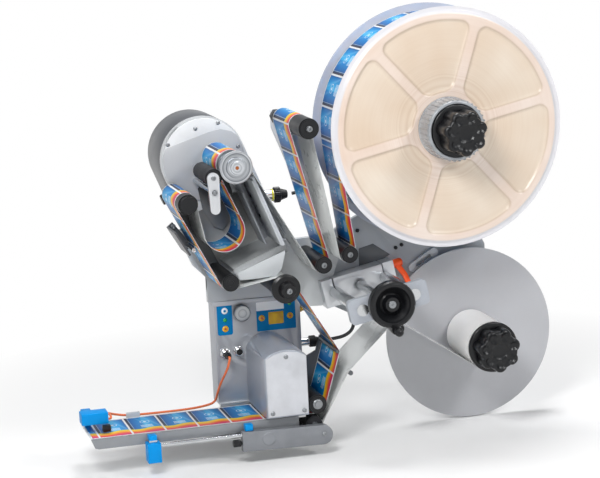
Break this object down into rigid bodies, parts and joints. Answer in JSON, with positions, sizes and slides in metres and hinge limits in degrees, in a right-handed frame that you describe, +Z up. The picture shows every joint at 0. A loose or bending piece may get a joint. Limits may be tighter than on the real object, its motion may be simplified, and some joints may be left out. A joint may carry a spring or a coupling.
{
  "type": "labeling machine",
  "caption": "Labeling head on a lead-screw slide: roll unwinder with formed flange, dancer arm, drive unit with nip, dispensing beak, control box and backing paper rewinder.",
  "frame": {"origin": "centre of the four stand bolts on the stand plate's rear face", "axes": "+Z up, +Y away from the operator along the slide columns, the dispensing beak points to -X, the reels are on the +X side"},
  "size_m": [0.849, 0.3478, 0.728],
  "materials": {
    "cast_grey": "fine hammered light grey enamel",
    "plate_grey": "smooth satin light grey enamel",
    "housing_grey": "satin mid grey enamel",
    "dark_plate": "satin dark grey enamel",
    "aluminium_milled": "milled and clear anodised",
    "aluminium_disc": "fine matt brushed, clear anodised",
    "aluminium_turned": "turned, clear anodised",
    "steel_bar": "ground, bright",
    "stainless_sheet": "ground stainless sheet",
    "cover_plate": "polished stainless sheet",
    "zinc_plate": "bead blasted stainless sheet",
    "black_plastic": "moulded, slightly glossy",
    "black_rubber": "moulded rubber sleeve, matt",
    "roller_black": "turned black polyamide, satin",
    "flange_cream": "vacuum formed sheet, translucent cream",
    "flange_clear": "clear sheet, pale lavender",
    "hub_clear": "clear moulded, frosted inside",
    "core_white": "wound paper, off-white",
    "label_blue": "printed labels, mostly blue",
    "paper_white": "glossy backing paper",
    "orange": "moulded orange plastic",
    "bright_blue": "moulded bright blue plastic",
    "key_white": "moulded, clear cap",
    "key_yellow": "moulded, clear cap",
    "socket_metal": "nickel plated",
    "cable_orange": "soft jacket, matt",
    "cable_black": "soft jacket, matt"
  },
  "bodies": {
    "stand_side": {"stand_plate": "plate_grey", "columns": "steel_bar", "end_plate": "aluminium_milled"},
    "reel": {"reel_back_flange": "flange_clear", "reel_front_flange": "flange_cream", "reel_roll": "label_blue", "reel_hub": "hub_clear"},
    "rewinder": {"rewind_disc": "aluminium_disc", "rewind_core": "core_white"},
    "dancer": {"dancer_arm": "aluminium_milled", "web_dancer": "label_blue"},
    "handwheel": {"handwheel": "black_plastic"},
    "crank_knob": {"crank_knob": "black_plastic"},
    "clamp_lever": {"clamp_lever": "orange"},
    "reel_knob": {"reel_knob": "black_plastic"},
    "rewind_knob": {"rewind_knob": "black_plastic"},
    "dancer_roller": {"dancer_roller": "roller_black"},
    "guide_roller_right": {"guide_roller_right": "roller_black"},
    "guide_roller_left": {"guide_roller_left": "roller_black"},
    "drive_spindle": {"drive_spindle": "aluminium_turned"},
    "nip_lever": {"nip_lever": "aluminium_milled"},
    "nip_roller": {"nip_roller": "black_rubber"},
    "loop_roller": {"loop_roller": "roller_black"},
    "low_roller": {"low_roller": "roller_black"},
    "turn_roller": {"turn_roller": "roller_black"},
    "small_handwheel": {"small_handwheel": "black_plastic"},
    "infeed_roller": {"infeed_roller": "roller_black"},
    "traction_roller": {"traction_roller": "black_rubber"},
    "paper_roller": {"paper_roller": "roller_black"},
    "dial": {"dial": "aluminium_turned"},
    "hold_down": {"hold_down": "bright_blue"},
    "key_white": {"key_white": "key_white"},
    "key_yellow": {"key_yellow": "key_yellow"},
    "key_minus": {"key_minus": "key_yellow"},
    "key_plus": {"key_plus": "key_yellow"},
    "head": {"slide_block": "aluminium_milled", "carrier_plate": "plate_grey", "main_plate": "cast_grey", "axles": "steel_bar", "drive_housing": "housing_grey", "ring_plate": "aluminium_turned", "side_wall": "cast_grey", "loop_arm": "dark_plate", "web_sensor": "housing_grey", "control_box": "zinc_plate", "motor_cover": "cast_grey", "sockets": "socket_metal", "connectors": "black_plastic", "sensor_plug": "black_plastic", "guide_plate": "dark_plate", "beak": "stainless_sheet", "beak_bar": "aluminium_milled", "guide_rod": "steel_bar", "label_sensor": "bright_blue", "web_supply": "label_blue", "web_run": "label_blue", "backing": "paper_white", "sensor_cable": "cable_orange", "upper_cable": "cable_black", "lower_cable": "cable_black"}
  },
  "joints": [
    {"name": "handwheel_turn", "type": "hinge", "parent": "stand_side", "child": "handwheel", "pos_m": [0, -0.2823, 0], "axis": [0, 1, 0], "range_deg": [-1800, 1800]},
    {"name": "crank_knob_spin", "type": "hinge", "parent": "handwheel", "child": "crank_knob", "pos_m": [0.00293, -0.3071, -0.0419], "axis": [0, 1, 0], "continuous": true},
    {"name": "head_slide", "type": "slide", "parent": "stand_side", "child": "head", "axis": [0, 1, 0], "range_m": [-0.015, 0.015]},
    {"name": "clamp_lever_turn", "type": "hinge", "parent": "head", "child": "clamp_lever", "pos_m": [0.06241, -0.104, 0.02639], "axis": [0.9816, 0, 0.1908], "range_deg": [-70, 10]},
    {"name": "reel_spin", "type": "hinge", "parent": "head", "child": "reel", "pos_m": [0.133, -0.2, 0.27], "axis": [0, 1, 0], "continuous": true},
    {"name": "reel_knob_turn", "type": "hinge", "parent": "reel", "child": "reel_knob", "pos_m": [0.133, -0.28, 0.27], "axis": [0, 1, 0], "range_deg": [-720, 0]},
    {"name": "rewinder_spin", "type": "hinge", "parent": "head", "child": "rewinder", "pos_m": [0.198, -0.16, -0.108], "axis": [0, 1, 0], "continuous": true},
    {"name": "rewind_knob_turn", "type": "hinge", "parent": "rewinder", "child": "rewind_knob", "pos_m": [0.198, -0.24, -0.108], "axis": [0, 1, 0], "range_deg": [-720, 0]},
    {"name": "dancer_swing", "type": "hinge", "parent": "head", "child": "dancer", "pos_m": [-0.0458, -0.1015, 0.0738], "axis": [0, 1, 0], "range_deg": [-12, 6], "stiffness_Nm_per_rad": 2, "springref_deg": 6.88, "deforming": ["web_dancer"]},
    {"name": "dancer_roller_spin", "type": "hinge", "parent": "dancer", "child": "dancer_roller", "pos_m": [-0.1187, -0.18, 0.2936], "axis": [0, 1, 0], "continuous": true},
    {"name": "guide_right_spin", "type": "hinge", "parent": "head", "child": "guide_roller_right", "pos_m": [-0.0458, -0.16, 0.0738], "axis": [0, 1, 0], "continuous": true},
    {"name": "guide_left_spin", "type": "hinge", "parent": "head", "child": "guide_roller_left", "pos_m": [-0.091, -0.16, 0.0604], "axis": [0, 1, 0], "continuous": true},
    {"name": "drive_spindle_spin", "type": "hinge", "parent": "head", "child": "drive_spindle", "pos_m": [-0.237, -0.16, 0.239], "axis": [0, 1, 0], "continuous": true},
    {"name": "nip_swing", "type": "hinge", "parent": "head", "child": "nip_lever", "pos_m": [-0.27321, -0.255, 0.20054], "axis": [0, 1, 0], "range_deg": [-18, 0], "stiffness_Nm_per_rad": 0.6, "springref_deg": 8.59},
    {"name": "nip_roller_spin", "type": "hinge", "parent": "nip_lever", "child": "nip_roller", "pos_m": [-0.27171, -0.17, 0.22354], "axis": [0, 1, 0], "continuous": true},
    {"name": "loop_roller_spin", "type": "hinge", "parent": "head", "child": "loop_roller", "pos_m": [-0.3146, -0.16, 0.1822], "axis": [0, 1, 0], "continuous": true},
    {"name": "low_roller_spin", "type": "hinge", "parent": "head", "child": "low_roller", "pos_m": [-0.249, -0.16, 0.046], "axis": [0, 1, 0], "continuous": true},
    {"name": "turn_roller_spin", "type": "hinge", "parent": "head", "child": "turn_roller", "pos_m": [-0.158, -0.16, 0.028], "axis": [0, 1, 0], "continuous": true},
    {"name": "small_handwheel_turn", "type": "hinge", "parent": "head", "child": "small_handwheel", "pos_m": [-0.158, -0.235, 0.028], "axis": [0, 1, 0], "continuous": true},
    {"name": "infeed_roller_spin", "type": "hinge", "parent": "head", "child": "infeed_roller", "pos_m": [-0.1115, -0.16, -0.174], "axis": [0, 1, 0], "continuous": true},
    {"name": "traction_roller_spin", "type": "hinge", "parent": "head", "child": "traction_roller", "pos_m": [-0.118, -0.16, -0.208], "axis": [0, 1, 0], "continuous": true},
    {"name": "paper_roller_spin", "type": "hinge", "parent": "head", "child": "paper_roller", "pos_m": [0.033, -0.16, -0.06], "axis": [0, 1, 0], "continuous": true},
    {"name": "dial_turn", "type": "hinge", "parent": "head", "child": "dial", "pos_m": [-0.2065, -0.105, -0.031], "axis": [0, 1, 0], "range_deg": [-150, 150]},
    {"name": "hold_down_slide", "type": "slide", "parent": "head", "child": "hold_down", "axis": [1, 0, 0], "range_m": [-0.012, 0.1]},
    {"name": "key_white_press", "type": "slide", "parent": "head", "child": "key_white", "axis": [0, 1, 0], "range_m": [0, 0.0006], "stiffness_N_per_m": 300, "springref_m": -0.001},
    {"name": "key_yellow_press", "type": "slide", "parent": "head", "child": "key_yellow", "axis": [0, 1, 0], "range_m": [0, 0.0006], "stiffness_N_per_m": 300, "springref_m": -0.001},
    {"name": "key_minus_press", "type": "slide", "parent": "head", "child": "key_minus", "axis": [0, 1, 0], "range_m": [0, 0.0006], "stiffness_N_per_m": 300, "springref_m": -0.001},
    {"name": "key_plus_press", "type": "slide", "parent": "head", "child": "key_plus", "axis": [0, 1, 0], "range_m": [0, 0.0006], "stiffness_N_per_m": 300, "springref_m": -0.001}
  ],
  "couplings": [
    {"joint": "handwheel_turn", "follows": "head_slide", "rad_per_m": -2094.4}
  ]
}
